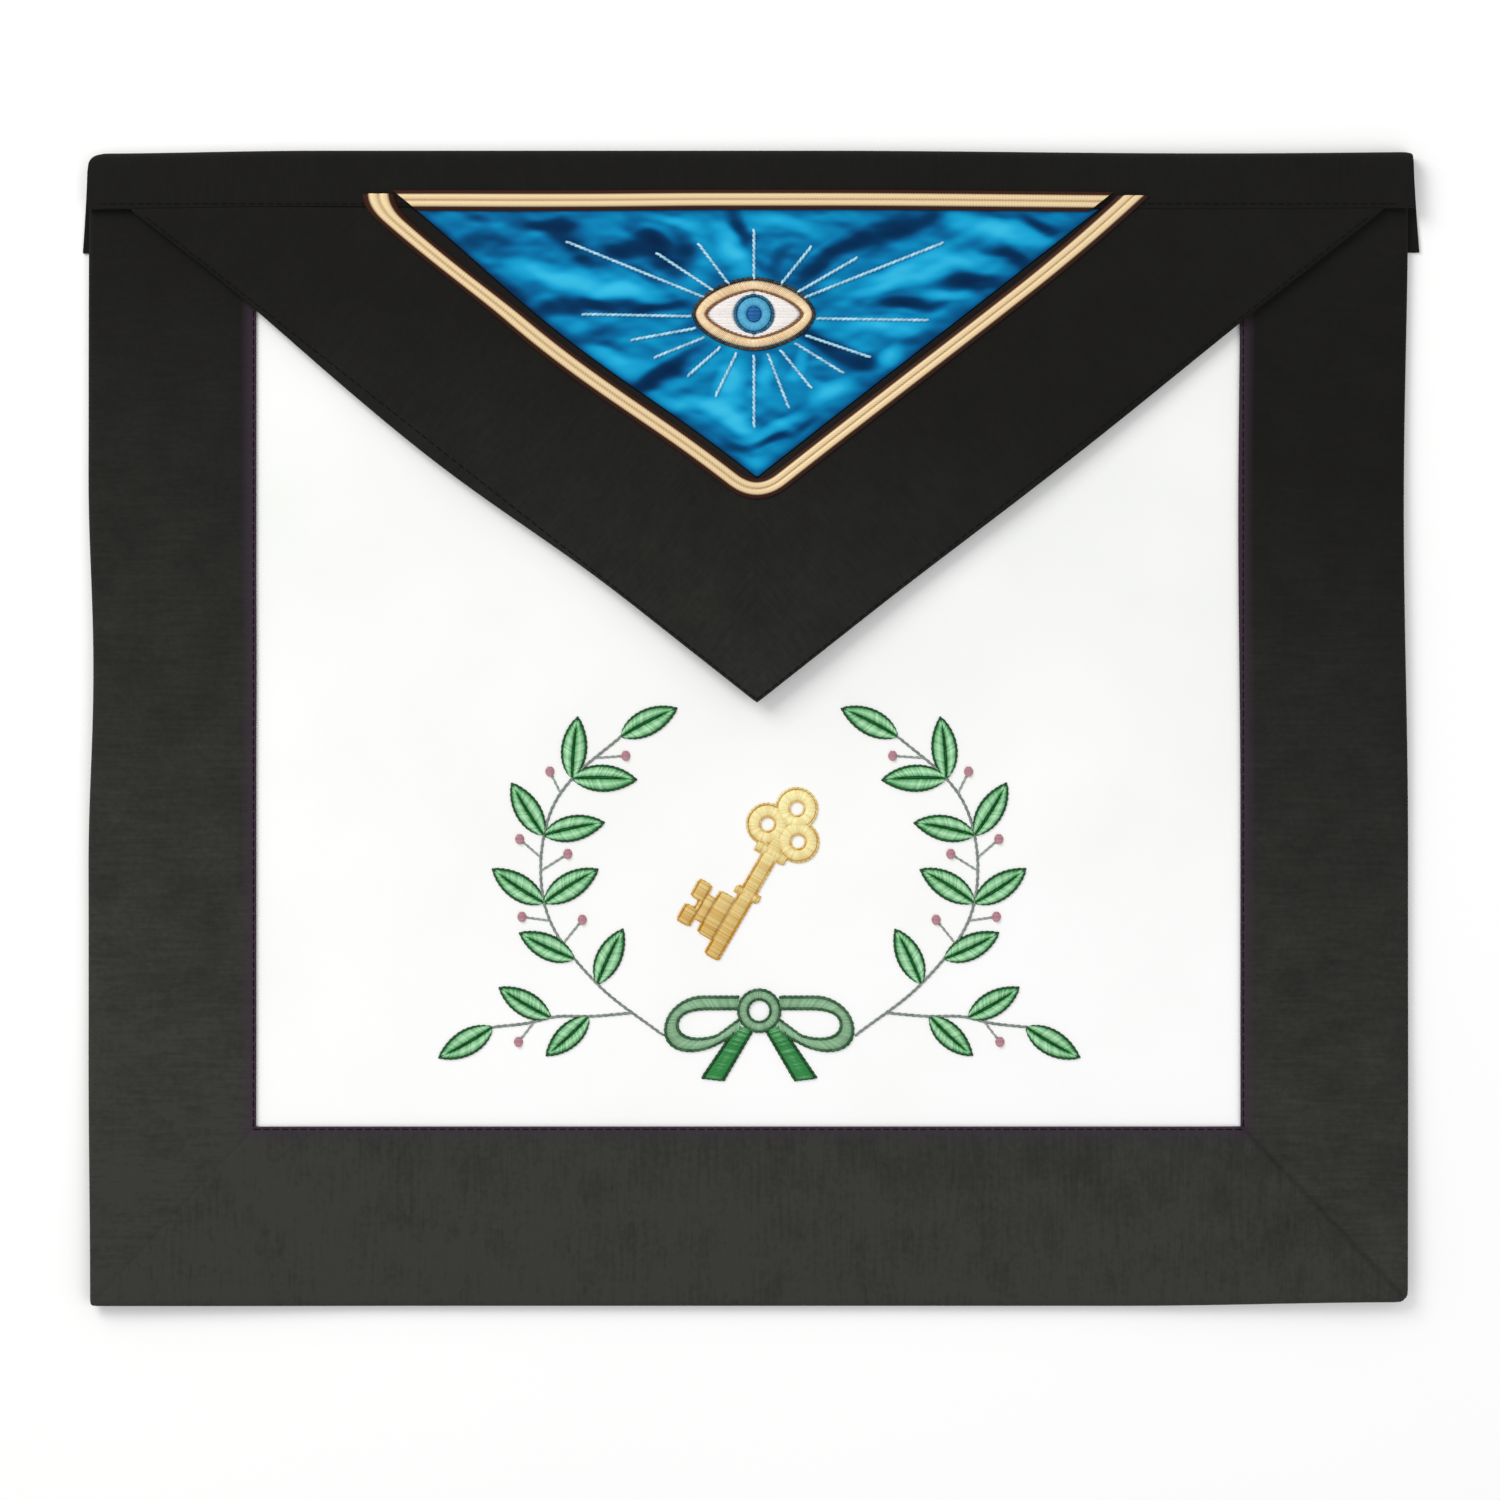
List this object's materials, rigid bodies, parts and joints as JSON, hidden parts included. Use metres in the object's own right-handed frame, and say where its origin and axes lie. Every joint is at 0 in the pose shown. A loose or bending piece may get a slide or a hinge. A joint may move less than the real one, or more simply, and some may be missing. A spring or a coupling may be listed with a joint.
{
  "type": "masonic apron",
  "caption": "Square-cornered fraternal apron, white with black ribbon borders, a pointed flap with a satin panel and an embroidered eye, and an embroidered wreath.",
  "frame": {"origin": "middle of the surface that the apron lies on, under the middle of its outline", "axes": "+X across the apron to the right as it is looked at from the front, +Y up it towards the waist band, +Z out of its front face"},
  "size_m": [0.4032, 0.35, 0.0093],
  "materials": {
    "white_leather": "smooth matt, faintly grained",
    "black_ribbon": "matt grosgrain weave, fine ribs across",
    "blue_satin": "shiny, puckered",
    "gold_braid": "metallic braid with a groove down its middle",
    "gold_thread": "metallic satin stitch, pale where it catches the light",
    "silver_thread": "pale, thin metallic thread",
    "white_thread": "satin stitch",
    "blue_thread": "satin stitch",
    "dark_blue_thread": "satin stitch",
    "green_thread": "satin stitch with a dark outline",
    "stem_thread": "thin grey-green stem stitch, with rose knots as berries"
  },
  "bodies": {
    "root": {"apron_panel": "white_leather", "border_left": "black_ribbon", "border_right": "black_ribbon", "border_foot": "black_ribbon", "top_band": "black_ribbon", "flap_cloth": "black_ribbon", "flap_ribbon_left": "black_ribbon", "flap_ribbon_right": "black_ribbon", "flap_satin": "blue_satin", "flap_braid_vee": "gold_braid", "flap_braid_top": "gold_braid", "eye_rays": "silver_thread", "eye_lid": "gold_thread", "eye_white": "white_thread", "eye_iris": "blue_thread", "eye_pupil": "dark_blue_thread", "spray_stem_left": "stem_thread", "spray_stem_right": "stem_thread", "leaf_left_1": "green_thread", "leaf_left_2": "green_thread", "leaf_left_3": "green_thread", "leaf_left_4": "green_thread", "leaf_left_5": "green_thread", "leaf_left_6": "green_thread", "leaf_left_7": "green_thread", "leaf_left_8": "green_thread", "leaf_left_9": "green_thread", "leaf_left_10": "green_thread", "leaf_left_11": "green_thread", "leaf_left_12": "green_thread", "leaf_right_1": "green_thread", "leaf_right_2": "green_thread", "leaf_right_3": "green_thread", "leaf_right_4": "green_thread", "leaf_right_5": "green_thread", "leaf_right_6": "green_thread", "leaf_right_7": "green_thread", "leaf_right_8": "green_thread", "leaf_right_9": "green_thread", "leaf_right_10": "green_thread", "leaf_right_11": "green_thread", "leaf_right_12": "green_thread", "bow_knot": "green_thread", "bow_loop_left": "green_thread", "bow_tail_left": "green_thread", "bow_loop_right": "green_thread", "bow_tail_right": "green_thread", "gold_key": "gold_thread"}
  },
  "joints": []
}
